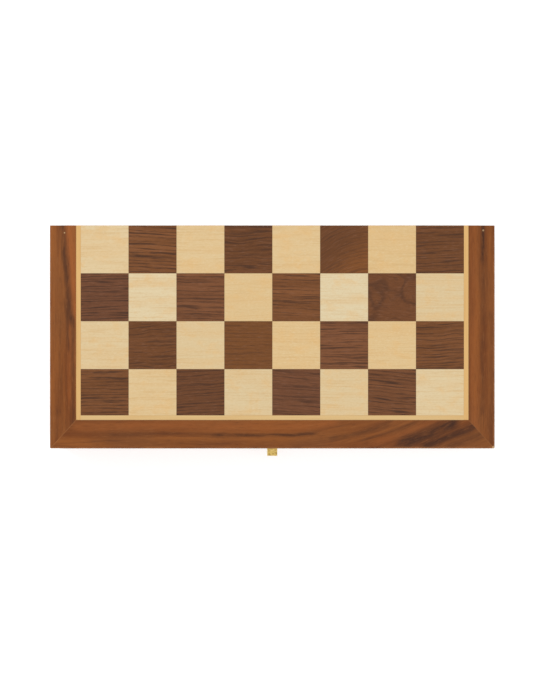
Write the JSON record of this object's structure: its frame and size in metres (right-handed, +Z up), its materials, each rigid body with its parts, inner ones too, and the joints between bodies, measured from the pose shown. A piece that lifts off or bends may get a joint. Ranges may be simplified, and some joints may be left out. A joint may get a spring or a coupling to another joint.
{
  "type": "folding chess set",
  "caption": "Hinged wooden case whose outer faces unfold into a chessboard, with a brass hasp latch, and turned chessmen stored in slotted foam inside.",
  "frame": {"origin": "centre of the bounding box's footprint, at the plane that the closed case rests on", "axes": "+X across the eight squares, +Y towards the fold and the hinges, -Y towards the latch, +Z up"},
  "size_m": [0.381, 0.202, 0.06],
  "materials": {
    "walnut_rail": "satin lacquered walnut",
    "panel_board": "thin plywood",
    "maple_square": "satin lacquered maple veneer",
    "walnut_square": "satin lacquered walnut veneer",
    "maple_strip": "satin lacquered maple strip",
    "green_felt": "felt",
    "green_foam": "flocked foam",
    "brass": "polished brass",
    "brass_screw": "brass countersunk screw",
    "pad_felt": "felt",
    "boxwood": "polished boxwood",
    "ebonised_wood": "polished ebonised wood"
  },
  "bodies": {
    "lower_half": {"catch_plate": "brass", "left_hinge_lower_leaf": "brass", "left_hinge_pin": "brass", "lower_back_rail": "walnut_rail", "lower_base_panel": "panel_board", "lower_border_strips": "maple_strip", "lower_dark_squares": "walnut_square", "lower_front_rail": "walnut_rail", "lower_left_rail": "walnut_rail", "lower_light_squares": "maple_square", "lower_lining": "green_felt", "lower_officer_foam": "green_foam", "lower_pawn_foam": "green_foam", "lower_playfield_core": "panel_board", "lower_right_rail": "walnut_rail", "lower_screws": "brass_screw", "right_hinge_lower_leaf": "brass", "right_hinge_pin": "brass", "white_bishop_1": "boxwood", "white_bishop_2": "boxwood", "white_felt_pads": "pad_felt", "white_king": "boxwood", "white_knight_1": "boxwood", "white_knight_2": "boxwood", "white_pawns": "boxwood", "white_queen": "boxwood", "white_rook_1": "boxwood", "white_rook_2": "boxwood"},
    "upper_half": {"black_bishop_1": "ebonised_wood", "black_bishop_2": "ebonised_wood", "black_felt_pads": "pad_felt", "black_king": "ebonised_wood", "black_knight_1": "ebonised_wood", "black_knight_2": "ebonised_wood", "black_pawns": "ebonised_wood", "black_queen": "ebonised_wood", "black_rook_1": "ebonised_wood", "black_rook_2": "ebonised_wood", "latch_pin": "brass", "latch_plate": "brass", "left_hinge_upper_leaf": "brass", "right_hinge_upper_leaf": "brass", "upper_back_rail": "walnut_rail", "upper_base_panel": "panel_board", "upper_border_strips": "maple_strip", "upper_dark_squares": "walnut_square", "upper_front_rail": "walnut_rail", "upper_left_rail": "walnut_rail", "upper_light_squares": "maple_square", "upper_lining": "green_felt", "upper_officer_foam": "green_foam", "upper_pawn_foam": "green_foam", "upper_playfield_core": "panel_board", "upper_right_rail": "walnut_rail", "upper_screws": "brass_screw"},
    "hasp": {"latch_hasp": "brass"}
  },
  "joints": [
    {"name": "lid", "type": "hinge", "parent": "lower_half", "child": "upper_half", "pos_m": [0, 0.09907, 0.02998], "axis": [-1, 0, 0], "range_deg": [0, 180]},
    {"name": "latch_lift", "type": "hinge", "parent": "upper_half", "child": "hasp", "pos_m": [0, -0.09398, 0.03258], "axis": [-1, 0, 0], "range_deg": [0, 150]}
  ]
}
